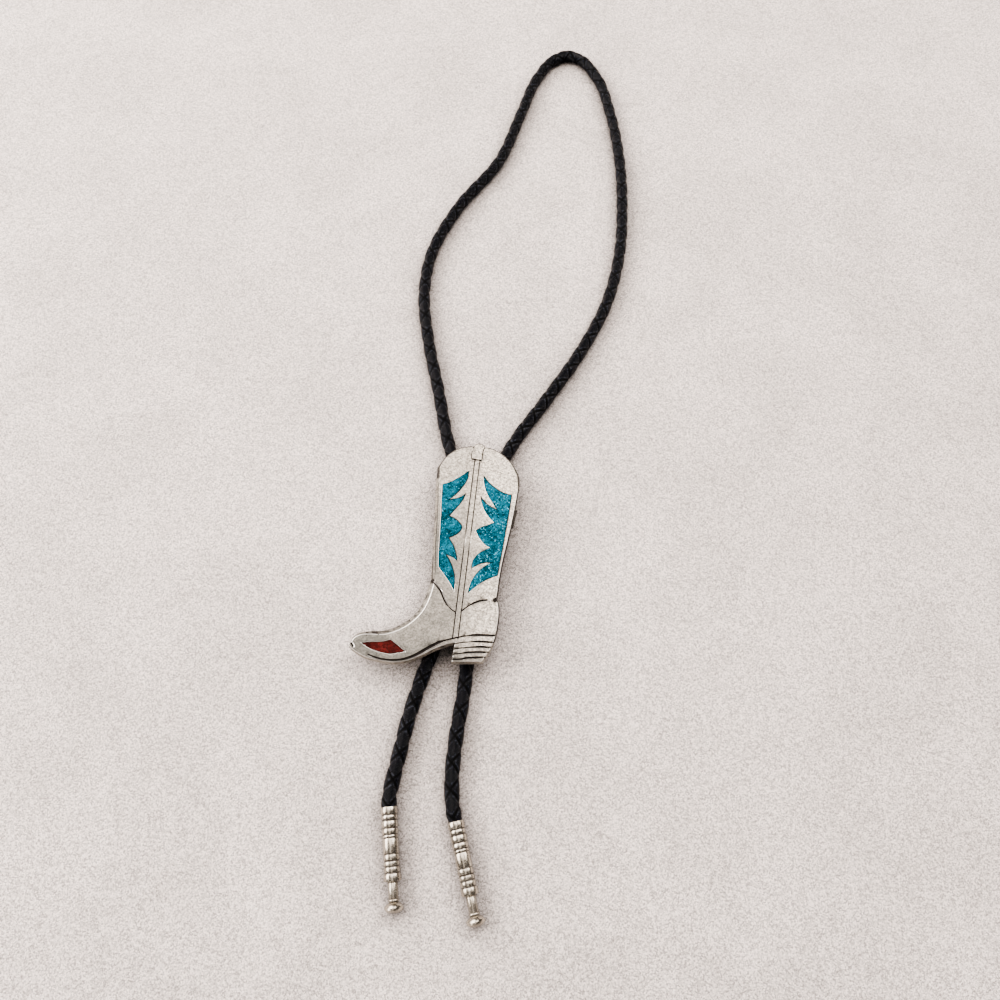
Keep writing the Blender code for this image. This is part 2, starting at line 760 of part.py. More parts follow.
def main():
    clear_scene()
    bolo = new_collection("bolo_tie")
    cutters = new_collection("cutters")
    tab_parts = new_collection("cast_on_tab")
    strap_parts = new_collection("clip_strap_part")
    pewter = new_material("pewter", (0.62, 0.60, 0.57), 1.0, 0.42)
    turquoise = new_material("turquoise", (0.01, 0.33, 0.38), 0.0, 0.25)
    coral = new_material("coral", (0.36, 0.01, 0.01), 0.0, 0.25)
    steel = new_material("clip_steel", (0.45, 0.44, 0.42), 1.0, 0.35)
    leather = new_material("black_leather", (0.012, 0.014, 0.02), 0.0, 0.45)
    nickel = new_material("nickel", (0.62, 0.57, 0.50), 1.0, 0.18)
    seat = slide_seat(bolo)
    build_slide(bolo, cutters, tab_parts, seat, pewter)
    build_inlays(bolo, seat, turquoise, coral)
    build_clip(bolo, strap_parts, seat, steel)
    build_cord(bolo, leather)
    build_tip("tip_left", CORD_ROUTE[1], CORD_ROUTE[0], bolo, nickel)
    build_tip("tip_right", CORD_ROUTE[-2], CORD_ROUTE[-1], bolo, nickel)
    for helpers in (cutters, tab_parts, strap_parts):
        hide_helpers(helpers)


main()
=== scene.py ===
"""Looks of a bolo tie: a cast western boot slide with stone inlays, a braided cord and turned tips.

Metres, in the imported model's own frame. The tie lies on the plane z = 0 with its neck loop towards
+Y, and the origin is under the middle of the slide.
"""

import math

import bmesh
import bpy
import numpy as np
from mathutils import Matrix, Vector


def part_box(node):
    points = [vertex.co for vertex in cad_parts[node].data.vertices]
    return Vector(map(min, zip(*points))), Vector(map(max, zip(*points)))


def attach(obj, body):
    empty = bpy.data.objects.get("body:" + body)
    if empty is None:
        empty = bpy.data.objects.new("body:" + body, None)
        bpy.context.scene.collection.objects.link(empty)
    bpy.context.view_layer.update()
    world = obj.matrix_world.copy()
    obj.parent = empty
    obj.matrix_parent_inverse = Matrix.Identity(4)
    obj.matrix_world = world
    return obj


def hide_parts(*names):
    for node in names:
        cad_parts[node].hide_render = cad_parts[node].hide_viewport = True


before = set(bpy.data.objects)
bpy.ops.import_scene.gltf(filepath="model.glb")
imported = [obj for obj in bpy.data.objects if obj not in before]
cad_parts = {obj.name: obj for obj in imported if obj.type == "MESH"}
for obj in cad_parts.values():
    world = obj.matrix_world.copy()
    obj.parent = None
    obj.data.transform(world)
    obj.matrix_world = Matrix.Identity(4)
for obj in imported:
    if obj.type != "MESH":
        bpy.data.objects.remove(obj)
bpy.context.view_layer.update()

# Camera
LENS = 28.44
SENSOR = 36.0
CAMERA_PLACE = (0.02247, -0.09889, 0.27775)
CAMERA_TILT = math.radians(23.70)
NEAREST_SEEN = 0.01

# Studio. Each lamp has its place, width, height and power. The surface gets a painted shadow
# within CONTACT_REACH of what lies on it.
AMBIENT_STRENGTH = 0.11
LIGHT_COLOUR = (1.0, 0.90, 0.83)
LAMP_TARGET = (0.01, 0.03, 0.0)
LAMPS = {
    "softbox": ((0.00, 0.45, 1.20), 1.0, 0.8, 17.0),
    "strip": ((0.02, -0.20, 1.30), 0.30, 1.2, 2.5),
    "left_panel": ((-1.00, 0.40, 0.66), 1.7, 0.7, 66.0),
    "right_panel": ((0.85, 0.75, 0.95), 1.0, 0.8, 30.0),
}
TABLE_SIZE = 2.4
TABLE_THICKNESS = 0.02
CONTACT_REACH = 0.013

# Braided cord. A crossing is CELLS rings long, and each ring has SIDES corners.
CORD_DIAMETER = 0.0048
CROSSING_PITCH = 0.0086
CELLS = 22
HALF_CELLS = CELLS // 2
SIDES = 2 * CELLS
GROOVE_DEPTH = 0.00036
LACE_CROWN = 0.00012
BRAID_SWELL = 0.00032
DIVE_START = 0.55
LACE_EDGE_POWER = 7
MOUTH_DEPTH = 0.0081
MOUTH_TAPER = 0.0012
MOUTH_SHARE = 0.88
ROUTE_STEPS = 40

# Route of the cord from the left tip round the neck to the right tip
CORD_ROUTE = [
    (-0.0127, -0.0951, 0.00270),
    (-0.0136, -0.0871, 0.00270),
    (-0.0137, -0.0840, 0.00262),
    (-0.0126, -0.0775, 0.00245),
    (-0.0111, -0.0705, 0.00245),
    (-0.0086, -0.0590, 0.00245),
    (-0.0050, -0.0467, 0.00245),
    (-0.0012, -0.0355, 0.00250),
    (0.0020, -0.0235, 0.00295),
    (0.0039, -0.0115, 0.00355),
    (0.0054, 0.0044, 0.00360),
    (0.0070, 0.0200, 0.00355),
    (0.0066, 0.0285, 0.00310),
    (0.0046, 0.0375, 0.00260),
    (0.0018, 0.0480, 0.00245),
    (-0.0024, 0.0700, 0.00245),
    (-0.0073, 0.0940, 0.00245),
    (-0.0101, 0.1190, 0.00245),
    (-0.0081, 0.1387, 0.00245),
    (0.0032, 0.1663, 0.00245),
    (0.0222, 0.1956, 0.00245),
    (0.0329, 0.2269, 0.00245),
    (0.0416, 0.2518, 0.00245),
    (0.0500, 0.2640, 0.00245),
    (0.0563, 0.2670, 0.00245),
    (0.0625, 0.2643, 0.00245),
    (0.0702, 0.2520, 0.00245),
    (0.0758, 0.2269, 0.00245),
    (0.0785, 0.1956, 0.00245),
    (0.0779, 0.1663, 0.00245),
    (0.0748, 0.1387, 0.00245),
    (0.0677, 0.1129, 0.00245),
    (0.0556, 0.0885, 0.00245),
    (0.0408, 0.0655, 0.00245),
    (0.0266, 0.0440, 0.00255),
    (0.0214, 0.0330, 0.00290),
    (0.0183, 0.0220, 0.00345),
    (0.0161, 0.0033, 0.00360),
    (0.0146, -0.0125, 0.00355),
    (0.0129, -0.0245, 0.00300),
    (0.0112, -0.0385, 0.00250),
    (0.0099, -0.0508, 0.00245),
    (0.0075, -0.0667, 0.00245),
    (0.0066, -0.0805, 0.00250),
    (0.0073, -0.0883, 0.00268),
    (0.0081, -0.0915, 0.00270),
    (0.0100, -0.0993, 0.00270),
]

# Tips, each from its rim down to its ball end. The socket widens to the mouth between two shares
# of its length.
TIP_LENGTH = 0.0310
TIP_RADIUS = 0.00280
TIP_SEGMENTS = 72
TIP_GROOVE_SHARE = 0.87
GROOVE_TOLERANCE = 1.03
MOUTH_RADIUS = 0.00250
SOCKET_RADIUS = 0.00200
SOCKET_LENGTH = 0.0090
WIDENING_START = 0.30
WIDENING_END = 0.25
BANDS_END = 0.70
BAND_EDGE = 0.00016
BAND_ROUNDING = 0.3
BAND_FOOT_SHARE = 0.92
BEAD_STEPS = 6
BEAD_FULLNESS = 0.6
BALL_RADIUS = 0.00305
BALL_START = 0.888
BALL_STEPS = 10
BALL_TOP_ANGLE = math.radians(60)
BALL_SWEEP = math.radians(150)
NECK_SHARE = 0.44

# Hammer marks on a tip's ball, the painted shade on its underside, and the darkening towards its end
HAMMER_DEPTH = 0.00016
HAMMER_LOBES = 3
HAMMER_OFFSET = 1.0
HAMMER_WAVES = 80
UNDERSIDE_PAINTED_SHADE = 0.88
UNDERSIDE_START = 0.75
END_DARKENING = 0.85
END_START = 0.945

# Tip bands from the rim: shares of TIP_LENGTH where each starts and ends, share of TIP_RADIUS, and
# whether it is a round bead or a flat band
BEAD, FLAT = "bead", "flat"
TIP_BANDS = [
    (0.000, 0.072, 1.00, FLAT),
    (0.080, 0.122, 0.98, BEAD),
    (0.135, 0.200, 0.98, BEAD),
    (0.208, 0.264, 0.98, BEAD),
    (0.271, 0.296, 0.94, BEAD),
    (0.302, 0.446, 0.92, FLAT),
    (0.453, 0.508, 0.94, BEAD),
    (0.515, 0.564, 0.92, BEAD),
    (0.572, 0.622, 0.93, BEAD),
    (0.633, 0.702, 1.00, FLAT),
    (0.714, 0.864, 0.57, FLAT),
    (0.868, 0.886, 0.66, BEAD),
]

# Boot casting. Its own x runs from its toe to its heel side from BOOT_CORNER, and its own y up from
# the heel. VAMP_TOP and ARCH_START are shares of BOOT_HEIGHT.
BOOT_CORNER = (-0.03032, -0.04019)
BOOT_LEAN = math.radians(5.7)
BOOT_WIDTH = 0.0533
BOOT_HEIGHT = 0.0855
PLATE_THICKNESS = 0.0030
FACE_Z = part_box("turquoise_inlay_left")[1].z
SHOULDER_DEPTH = 0.0003
PIPING_X = 0.0366
HEEL_TOP = 0.0125
TAB_START = 0.0791
VAMP_TOP = 0.37
ARCH_START = 0.83

# Depths of the grooves and the cells under the face, and how far a corner may lie from them
GROOVE_FLOOR = 0.0004
GROOVE_SPREAD = 0.00008
CELL_DEPTH = 0.0012
CELL_SPREAD = 0.0003

# Crown: how far the face drops towards each side, and the squares that it is cut in to bend
HEEL_SIDE_DROP = 0.0010
TOE_DROP = 0.0010
TOE_DROP_POWER = 1.6
CUT_SPACING = 0.0018

# Stretch of the vamp's grooves that is worn shallow and clean
WORN_HEIGHT = 0.0466
WORN_REACH = 0.0042
WORN_SHARE = 0.85

# Painted light and shade over the face, by place on the boot
VAMP_PAINTED_LIGHT = 0.15
TOP_PAINTED_LIGHT = 0.55
TOP_PAINTED_LIGHT_START = 0.35
COUNTER_PAINTED_LIGHT = 1.25
COUNTER_REACH = 0.004
TOE_PAINTED_LIGHT = -0.24
SHAFT_EDGE = 0.0240
SHAFT_SHADE_WIDTH = 0.0050
SHAFT_PAINTED_SHADE = 0.30

# Painted light on the sloped shoulder by the way it faces, and the painted shade on its darkest sides
VAMP_SHOULDER_PAINTED_LIGHT = 0.17
SHAFT_SHOULDER_PAINTED_LIGHT = 0.34
SOLE_EDGE_PAINTED_LIGHT = 0.30
HEEL_SIDE_PAINTED_LIGHT = 0.0
EDGE_PAINTED_SHADE = 0.92

# Widths of the casting's rounded edges, how far from the piping an edge counts as one of its own,
# and how far patina and painted shade spread out of a corner
CAST_EDGE = 0.00012
GROOVE_EDGE = 0.00028
PIPING_EDGE = 0.00009
PIPING_REACH = 0.0030
ARCH_EDGE = 0.00045
SHAFT_RIM = 0.00022
TAB_GUTTER = 0.00028
CREVICE_REACH = 0.0006

# How a face lies, by a part of its normal: level, steep, towards the toe or towards the sole. Then
# the angles that count as sharp and as flat, and how close corners are merged or lie on the face.
LEVEL = 0.97
STEEP = 0.5
TOWARDS_TOE = -0.1
TOWARDS_SOLE = -0.3
SHARP_ANGLE = math.radians(25)
FLAT_ANGLE = math.radians(0.6)
MERGE_DISTANCE = 0.000004
FACE_TOLERANCE = 10 * MERGE_DISTANCE

# Clip, trimmed by a line along its right side
CLIP_EDGE = 0.00025
CLIP_SIDE_X = 0.0281
CLIP_SIDE_Y = 0.0120
CLIP_SIDE_LEAN = 0.24

# Stone inlays: their growth towards the cells' walls, rounded edge and dark rim, and their chips
STONE_EDGE = 0.00006
STONE_GROWTH = 0.00022
STONE_RIM = 0.00030
STONE_GLOSS = 0.05
MITRE_LIMIT = 0.35
CHIPS_PER_METRE = 2000.0
CHIP_WOBBLE = 0.0004

# Nicks in the boot's face: place and radius, and the share of the radius that is fully dark
NICKS = [
    (-0.0235, -0.0321, 0.00034),
    (-0.0194, -0.0318, 0.00034),
    (-0.0061, -0.0236, 0.00034),
    (-0.0283, -0.0352, 0.00040),
    (-0.0015, -0.0125, 0.00105),
    (0.0207, -0.0197, 0.00115),
]
NICK_CORE = 0.6


def add_node(tree, kind, inputs=None, **settings):
    """A shader node with its settings, and its inputs either linked to a socket or set to a value."""
    made = tree.nodes.new(kind)
    for key, value in settings.items():
        setattr(made, key, value)
    for key, value in (inputs or {}).items():
        if isinstance(value, bpy.types.NodeSocket):
            tree.links.new(value, made.inputs[key])
        else:
            made.inputs[key].default_value = value
    return made


def colour(red, green, blue):
    return (red, green, blue, 1.0)


def place_on(tree):
    return add_node(tree, "ShaderNodeTexCoord").outputs["Object"]


def noise(tree, vector, scale, detail=3.0, roughness=0.55, distortion=0.0):
    inputs = {
        "Vector": vector,
        "Scale": scale,
        "Detail": detail,
        "Roughness": roughness,
        "Distortion": distortion,
    }
    return add_node(tree, "ShaderNodeTexNoise", inputs).outputs["Fac"]


def grains(tree, vector, scale):
    """Small grains with a random tone each."""
    made = add_node(tree, "ShaderNodeTexVoronoi", {"Vector": vector, "Scale": scale})
    return add_node(tree, "ShaderNodeSeparateColor", {"Color": made.outputs["Color"]}).outputs["Red"]


def ranged(tree, value, low, high, to_low=0.0, to_high=1.0):
    inputs = {"Value": value, "From Min": low, "From Max": high, "To Min": to_low, "To Max": to_high}
    return add_node(tree, "ShaderNodeMapRange", inputs).outputs["Result"]


def sums(tree, operation, first, second):
    made = add_node(tree, "ShaderNodeMath", {0: first, 1: second}, operation=operation)
    return made.outputs["Value"]


def blend_colours(tree, factor, first, second, blend_type="MIX"):
    inputs = {0: factor, 6: first, 7: second}
    made = add_node(tree, "ShaderNodeMix", inputs, data_type="RGBA", blend_type=blend_type)
    return made.outputs[2]


def times(tree, body, factor):
    """A colour made darker or lighter by a factor."""
    return blend_colours(tree, 1.0, body, factor, "MULTIPLY")


def blend_floats(tree, factor, first, second):
    inputs = {0: factor, 2: first, 3: second}
    return add_node(tree, "ShaderNodeMix", inputs, data_type="FLOAT").outputs[0]


def bump(tree, height, strength, distance, normal=None):
    inputs = {"Height": height, "Strength": strength, "Distance": distance}
    if normal is not None:
        inputs["Normal"] = normal
    return add_node(tree, "ShaderNodeBump", inputs).outputs["Normal"]


def attribute(tree, name):
    return add_node(tree, "ShaderNodeAttribute", attribute_name=name).outputs["Fac"]


def crevice(tree, reach):
    """How deep in a corner a place lies, from 0 in the open to 1."""
    made = add_node(tree, "ShaderNodeAmbientOcclusion", {"Distance": reach}, samples=3, only_local=True)
    return ranged(tree, made.outputs["AO"], 0.40, 0.92, 1.0, 0.0)


def spots(tree, place, rows):
    """Small round marks, each given by its place and radius on the boot's face."""
    marks = 0.0
    for x, y, radius in rows:
        flat = add_node(tree, "ShaderNodeVectorMath", {0: place, 1: (1.0, 1.0, 0.0)}, operation="MULTIPLY")
        away = add_node(
            tree,
            "ShaderNodeVectorMath",
            {0: flat.outputs["Vector"], 1: (x, y, 0.0)},
            operation="DISTANCE",
        )
        mark = ranged(tree, away.outputs["Value"], radius * NICK_CORE, radius, 1.0, 0.0)
        marks = sums(tree, "MAXIMUM", mark, marks)
    return marks


def new_finish(name):
    """A material with a plain Principled shader, and its node tree and shader."""
    material = bpy.data.materials.new(name)
    material.use_nodes = True
    tree = material.node_tree
    return material, tree, tree.nodes["Principled BSDF"]


def wire_up(tree, shader, **sockets):
    for name, socket in sockets.items():
        tree.links.new(socket, shader.inputs[name.replace("_", " ")])


def cast_pewter():
    """Satin cast metal: painted light and shade by place and slope, pale and highlit on its edges, and
    dark with tarnish and painted shade in hollows and corners.
    """
    darker_metal, lighter_metal = colour(0.135, 0.130, 0.114), colour(0.80, 0.728, 0.626)
    worn_and_highlit, stained_and_shaded = colour(0.92, 0.90, 0.85), colour(0.008, 0.006, 0.005)
    material, tree, shader = new_finish("cast_pewter")
    place = place_on(tree)
    grain = noise(tree, place, 1500, detail=4.0, roughness=0.8)
    speckle = noise(tree, place, 900, detail=3.0, roughness=0.7)
    cloud = noise(tree, place, 150, detail=3.0)
    chip = grains(tree, place, 2100)
    # Rounded edges are pale where rubbed, and painted highlit on the side that faces the light
    wear_and_highlight = attribute(tree, "wear_and_highlight")
    # Darkening: patina in the hollows, painted shade on unlit edges, on slopes facing the heel side and in
    # corners, and the nicks
    stain_and_shade = sums(tree, "MAXIMUM", attribute(tree, "stain_and_shade"), attribute(tree, "shade_and_patina"))
    stain_and_shade = sums(tree, "MAXIMUM", stain_and_shade, crevice(tree, CREVICE_REACH))
    stain_and_shade = sums(tree, "MAXIMUM", stain_and_shade, spots(tree, place, NICKS))
    # Painted light and shade by place on the face, and by the way the slopes face
    painted_light = sums(tree, "ADD", attribute(tree, "painted_light"), ranged(tree, cloud, 0.3, 0.7, -0.10, 0.10))
    painted_light = blend_floats(tree, attribute(tree, "slope"), painted_light, attribute(tree, "tone"))
    darkest_chip = ranged(tree, painted_light, 0.1, 0.8, 0.80, 0.30)
    clean = blend_colours(tree, painted_light, darker_metal, lighter_metal)
    clean = times(tree, clean, ranged(tree, chip, 0.0, 1.0, darkest_chip, 1.15))
    clean = times(tree, clean, ranged(tree, grain, 0.40, 0.60, 0.62, 1.25))
    clean = times(tree, clean, ranged(tree, speckle, 0.35, 0.55, 0.80, 1.06))
    clean = blend_colours(tree, wear_and_highlight, clean, worn_and_highlit)
    rough = ranged(tree, grain, 0.3, 0.7, 0.60, 0.48)
    fine_bump = bump(tree, grain, strength=0.35, distance=0.00006)
    wire_up(
        tree,
        shader,
        Base_Color=blend_colours(tree, stain_and_shade, clean, stained_and_shaded),
        Metallic=ranged(tree, stain_and_shade, 0.0, 1.0, 1.0, 0.05),
        Specular_IOR_Level=ranged(tree, stain_and_shade, 0.0, 1.0, 0.5, 0.05),
        Roughness=sums(tree, "MULTIPLY", rough, ranged(tree, wear_and_highlight, 0.0, 1.0, 1.0, 0.6)),
        Normal=bump(tree, speckle, strength=0.30, distance=0.0001, normal=fine_bump),
    )
    return material


def crushed_stone(name, shades, vein, fleck_and_glint, flecks_and_glints_from, gloss):
    """Chips of stone set in clear resin and ground flat, with light flecks that are partly painted glints,
    and thin dark veins.
    """
    material, tree, shader = new_finish(name)
    place = place_on(tree)
    wobble = add_node(tree, "ShaderNodeTexNoise", {"Vector": place, "Scale": CHIPS_PER_METRE})
    shift = add_node(
        tree,
        "ShaderNodeVectorMath",
        {0: wobble.outputs["Color"], "Scale": CHIP_WOBBLE},
        operation="SCALE",
    )
    bent = add_node(
        tree,
        "ShaderNodeVectorMath",
        {0: place, 1: shift.outputs["Vector"]},
        operation="ADD",
    )
    pattern = {"Vector": bent.outputs["Vector"], "Scale": CHIPS_PER_METRE}
    chips = add_node(tree, "ShaderNodeTexVoronoi", pattern)
    tone = add_node(tree, "ShaderNodeSeparateColor", {"Color": chips.outputs["Color"]})
    gaps = add_node(tree, "ShaderNodeTexVoronoi", pattern, feature="DISTANCE_TO_EDGE")
    edges = gaps.outputs["Distance"]
    ramp = add_node(tree, "ShaderNodeValToRGB", {"Fac": tone.outputs["Red"]})
    stops = ramp.color_ramp.elements
    stops.remove(stops[1])
    stops[0].position = 0.0
    stops[0].color = colour(*shades[0])
    for step, shade_of_chip in enumerate(shades[1:], 1):
        stops.new(step / (len(shades) - 1)).color = colour(*shade_of_chip)
    cloud = noise(tree, place, 260, detail=3.0)
    fine = noise(tree, place, 4200, detail=2.0)
    body = times(tree, ramp.outputs["Color"], ranged(tree, cloud, 0.36, 0.64, 0.34, 1.22))
    # Light flecks, partly painted glints
    light = sums(tree, "MULTIPLY", tone.outputs["Green"], fine)
    sparkle = ranged(tree, light, flecks_and_glints_from, flecks_and_glints_from + 0.06)
    body = blend_colours(tree, sparkle, body, colour(*fleck_and_glint))
    line = ranged(tree, edges, 0.0, 0.10, 1.0, 0.0)
    body = blend_colours(tree, sums(tree, "MULTIPLY", line, 0.55), body, colour(*vein))
    body = blend_colours(tree, attribute(tree, "rim"), body, colour(*vein))
    shader.inputs["Specular IOR Level"].default_value = STONE_GLOSS
    shader.inputs["Specular Tint"].default_value = colour(*gloss)
    wire_up(
        tree,
        shader,
        Base_Color=body,
        Roughness=ranged(tree, fine, 0.3, 0.7, 0.30, 0.55),
        Normal=bump(tree, edges, strength=0.25, distance=0.00012),
    )
    return material


def braided_leather():
    """Blue-black laces, ridged along their length with a painted sheen on the ridges, and broken painted
    glint marks on their shoulders.
    """
    darkest, lightest = colour(0.0001, 0.0001, 0.0002), colour(0.0003, 0.0004, 0.0008)
    ribbed_sheen, painted_glint_colour = colour(0.0028, 0.0034, 0.0062), colour(0.022, 0.025, 0.034)
    seam_colour = colour(0.0002, 0.0002, 0.0003)
    warm_tint, cool_tint = colour(1.05, 0.92, 1.12), colour(0.88, 1.08, 1.0)
    material, tree, shader = new_finish("braided_leather")
    place = place_on(tree)
    lace = add_node(tree, "ShaderNodeUVMap", uv_map="lace").outputs["UV"]
    ribs = add_node(
        tree,
        "ShaderNodeTexWave",
        {"Vector": lace, "Scale": 1.55, "Distortion": 1.6, "Detail": 2.0, "Detail Scale": 1.4},
        bands_direction="Y",
    ).outputs["Fac"]
    grain = noise(tree, place, 1900, detail=4.0, roughness=0.6)
    cloud = noise(tree, place, 240, detail=2.0)
    relief = attribute(tree, "relief")
    hide = blend_colours(tree, ranged(tree, grain, 0.40, 0.70), darkest, lightest)
    # Lighter ribs: the laces' rib texture with a painted sheen
    hide = blend_colours(tree, ranged(tree, ribs, 0.55, 1.0, 0.0, 0.9), hide, ribbed_sheen)
    tint = blend_colours(tree, ranged(tree, cloud, 0.40, 0.62), warm_tint, cool_tint)
    hide = times(tree, hide, tint)
    # Painted glints on the laces' shoulders beside the seams
    inner = ranged(tree, relief, 0.55, 0.72)
    outer = ranged(tree, relief, 0.88, 0.98, 0.85, 0.0)
    painted_glints = ranged(tree, noise(tree, place, 1300, detail=2.0), 0.47, 0.62)
    painted_glints = sums(tree, "MULTIPLY", sums(tree, "MULTIPLY", inner, outer), painted_glints)
    hide = blend_colours(tree, painted_glints, hide, painted_glint_colour)
    seam = ranged(tree, relief, 0.12, 0.55)
    lace_roughness = ranged(tree, grain, 0.3, 0.7, 0.14, 0.34)
    seam_roughness = ranged(tree, seam, 0.0, 0.8, 0.9, 0.2)
    fine_bump = bump(tree, grain, strength=0.5, distance=0.00010)
    shader.inputs["Specular IOR Level"].default_value = 0.05
    wire_up(
        tree,
        shader,
        Base_Color=blend_colours(tree, seam, seam_colour, hide),
        Roughness=sums(tree, "MAXIMUM", lace_roughness, seam_roughness),
        Normal=bump(tree, ribs, strength=0.80, distance=0.00014, normal=fine_bump),
    )
    return material


def turned_nickel():
    """Warm polished nickel, dark where its grooves are tarnished and where shade is painted on its
    underside, and darker towards its end.
    """
    darker_metal, lighter_metal = colour(0.36, 0.318, 0.258), colour(0.58, 0.53, 0.445)
    stained_and_shaded = colour(0.030, 0.022, 0.015)
    material, tree, shader = new_finish("turned_nickel")
    place = place_on(tree)
    cloud = noise(tree, place, 420, detail=3.0)
    speck = noise(tree, place, 2400, detail=3.0)
    stain_and_shade = attribute(tree, "stain_and_shade")
    clean = blend_colours(tree, ranged(tree, cloud, 0.35, 0.7), darker_metal, lighter_metal)
    wire_up(
        tree,
        shader,
        Base_Color=blend_colours(tree, stain_and_shade, clean, stained_and_shaded),
        Metallic=ranged(tree, stain_and_shade, 0.0, 1.0, 1.0, 0.3),
        Roughness=ranged(tree, speck, 0.35, 0.70, 0.20, 0.32),
        Normal=bump(tree, speck, strength=0.12, distance=0.00008),
    )
    return material


def plated_steel():
    """Dark plated steel with fine scratches along the clip."""
    dark, light = colour(0.014, 0.013, 0.011), colour(0.035, 0.032, 0.028)
    material, tree, shader = new_finish("plated_steel")
    place = place_on(tree)
    drawn = add_node(tree, "ShaderNodeMapping", {"Vector": place, "Scale": (1.0, 0.05, 1.0)})
    scratch = noise(tree, drawn.outputs["Vector"], 3000, detail=3.0)
    cloud = noise(tree, place, 200, detail=3.0)
    wire_up(
        tree,
        shader,
        Base_Color=blend_colours(tree, cloud, dark, light),
        Roughness=ranged(tree, scratch, 0.3, 0.7, 0.28, 0.48),
        Normal=bump(tree, scratch, strength=0.15, distance=0.00005),
    )
    shader.inputs["Metallic"].default_value = 1.0
    return material


def pale_plaster():
    """Smooth plaster with faint clouds, scuffs and a fine grain, and a painted shadow close to what lies
    on it.
    """
    darker, lighter = colour(0.85, 0.765, 0.722), colour(0.98, 0.878, 0.832)
    scuffed = colour(0.72, 0.635, 0.59)
    material, tree, shader = new_finish("pale_plaster")
    place = place_on(tree)
    cloud = noise(tree, place, 22, detail=5.0, roughness=0.66, distortion=0.5)
    scuffs = noise(tree, place, 85, detail=5.0, roughness=0.74, distortion=1.6)
    soft = noise(tree, place, 3100, detail=4.0, roughness=0.9)
    grit = blend_floats(tree, 0.5, grains(tree, place, 2300), ranged(tree, soft, 0.40, 0.60))
    pits = noise(tree, place, 400, detail=5.0, roughness=0.8)
    # Painted shadow: the plaster darkens close to what lies on it
    painted_contact_shadow = add_node(tree, "ShaderNodeAmbientOcclusion", {"Distance": CONTACT_REACH}, samples=2)
    body = blend_colours(tree, ranged(tree, cloud, 0.40, 0.60), darker, lighter)
    body = blend_colours(tree, ranged(tree, scuffs, 0.56, 0.70, 0.0, 0.60), body, scuffed)
    body = times(tree, body, ranged(tree, grit, 0.15, 0.85, 0.16, 1.30))
    body = times(tree, body, ranged(tree, painted_contact_shadow.outputs["AO"], 0.30, 0.95, 0.10, 1.0))
    wire_up(
        tree,
        shader,
        Base_Color=body,
        Normal=bump(tree, pits, strength=0.30, distance=0.0009),
    )
    shader.inputs["Roughness"].default_value = 0.85
    shader.inputs["Specular IOR Level"].default_value = 0.2
    return material


def finish_piece(piece, node):
    """The piece rides on the tie and stands for its solid."""
    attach(piece, "root")
    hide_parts(node)


def new_piece(name, bm, material):
    mesh = bpy.data.meshes.new(name)
    bm.to_mesh(mesh)
    bm.free()
    piece = bpy.data.objects.new(name, mesh)
    mesh.materials.append(material)
    bpy.context.scene.collection.objects.link(piece)
    return piece


def shade(piece):
    piece.data.shade_smooth()
    piece.data.set_sharp_from_angle(angle=SHARP_ANGLE)


def build_camera():
    data = bpy.data.cameras.new("camera")
    data.lens = LENS
    data.sensor_width = SENSOR
    data.clip_start = NEAREST_SEEN
    camera = bpy.data.objects.new("camera", data)
    camera.location = CAMERA_PLACE
    camera.rotation_euler = (CAMERA_TILT, 0.0, 0.0)
    bpy.context.scene.collection.objects.link(camera)
    bpy.context.scene.camera = camera


def build_light():
    world = bpy.data.worlds.new("studio")
    world.use_nodes = True
    sky = world.node_tree.nodes["Background"]
    sky.inputs["Color"].default_value = (*LIGHT_COLOUR, 1.0)
    sky.inputs["Strength"].default_value = AMBIENT_STRENGTH
    bpy.context.scene.world = world
    for name, (place, width, height, power) in LAMPS.items():
        data = bpy.data.lights.new(name, "AREA")
        data.shape = "RECTANGLE"
        data.size = width
        data.size_y = height
        data.energy = power
        data.color = LIGHT_COLOUR
        lamp = bpy.data.objects.new(name, data)
        lamp.location = place
        aim = Vector(LAMP_TARGET) - Vector(place)
        lamp.rotation_euler = aim.to_track_quat("-Z", "Y").to_euler()
        bpy.context.scene.collection.objects.link(lamp)


def build_table():
    bm = bmesh.new()
    bmesh.ops.create_cube(bm, size=1.0)
    bmesh.ops.scale(bm, verts=bm.verts, vec=(TABLE_SIZE, TABLE_SIZE, TABLE_THICKNESS))
    bmesh.ops.translate(bm, verts=bm.verts, vec=(0.0, 0.0, -TABLE_THICKNESS / 2))
    new_piece("plaster_table", bm, pale_plaster())


def smooth_route():
    """Many points along a smooth curve through the cord's route."""
    rows = np.array(CORD_ROUTE)
    spans = np.diff(rows, axis=0)
    lengths = np.linalg.norm(spans, axis=1)[:, None]
    slopes = spans / lengths
    before, after = lengths[:-1], lengths[1:]
    middle = (slopes[:-1] * after + slopes[1:] * before) / (before + after)
    first = (3 * slopes[:1] - middle[:1]) / 2
    last = (3 * slopes[-1:] - middle[-1:]) / 2
    tangents = np.vstack([first, middle, last])
    share = (np.arange(ROUTE_STEPS) / ROUTE_STEPS)[None, :, None]
    start, end = rows[:-1, None], rows[1:, None]
    leave = (tangents[:-1] * lengths)[:, None]
    arrive = (tangents[1:] * lengths)[:, None]
    points = (
        (2 * share**3 - 3 * share**2 + 1) * start
        + (share**3 - 2 * share**2 + share) * leave
        + (3 * share**2 - 2 * share**3) * end
        + (share**3 - share**2) * arrive
    )
    return np.vstack([points.reshape(-1, 3), rows[-1:]])


